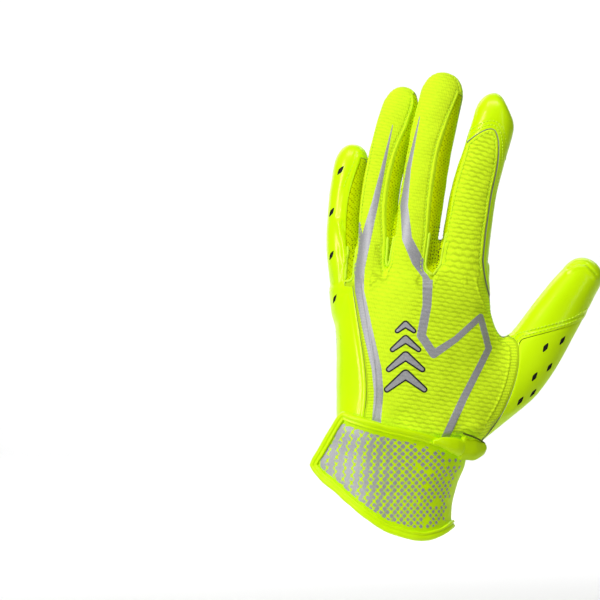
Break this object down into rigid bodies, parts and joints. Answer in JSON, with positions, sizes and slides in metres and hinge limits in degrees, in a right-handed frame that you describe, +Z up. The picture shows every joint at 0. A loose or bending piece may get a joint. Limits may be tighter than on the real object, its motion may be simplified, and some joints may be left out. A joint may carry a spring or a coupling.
{
  "type": "football receiver glove",
  "caption": "Left-hand receiver glove in bright yellow-green, knit back, glossy grip palm, mesh gussets and a wrist strap, kept in worn form.",
  "frame": {"origin": "centre of the wrist opening, level with the lowest point of the cuff's hem", "axes": "+Z up along the fingers, +X towards the thumb, +Y out of the palm; the back of the hand faces -Y"},
  "size_m": [0.1582, 0.0572, 0.2519],
  "materials": {
    "knit": "ribbed knit, matt, with silver printed stripes",
    "grip_leather": "smooth coated synthetic leather, glossy and tacky",
    "vented_leather": "smooth synthetic leather with small diamond vents, satin",
    "mesh": "fine perforated stretch mesh, matt",
    "band_foam": "foam-backed smooth band, satin, with a silver halftone print on the strap",
    "binding": "rolled edge binding, satin",
    "hook_and_loop": "hook-and-loop pile"
  },
  "bodies": {
    "root": {"back_panel": "knit", "palm_panel": "grip_leather", "thumb_panel": "vented_leather", "gusset_little_ring": "mesh", "gusset_ring_middle": "mesh", "gusset_middle_index": "mesh", "wrist_band": "band_foam", "edge_binding": "binding", "closure_patch": "hook_and_loop"}
  },
  "joints": []
}
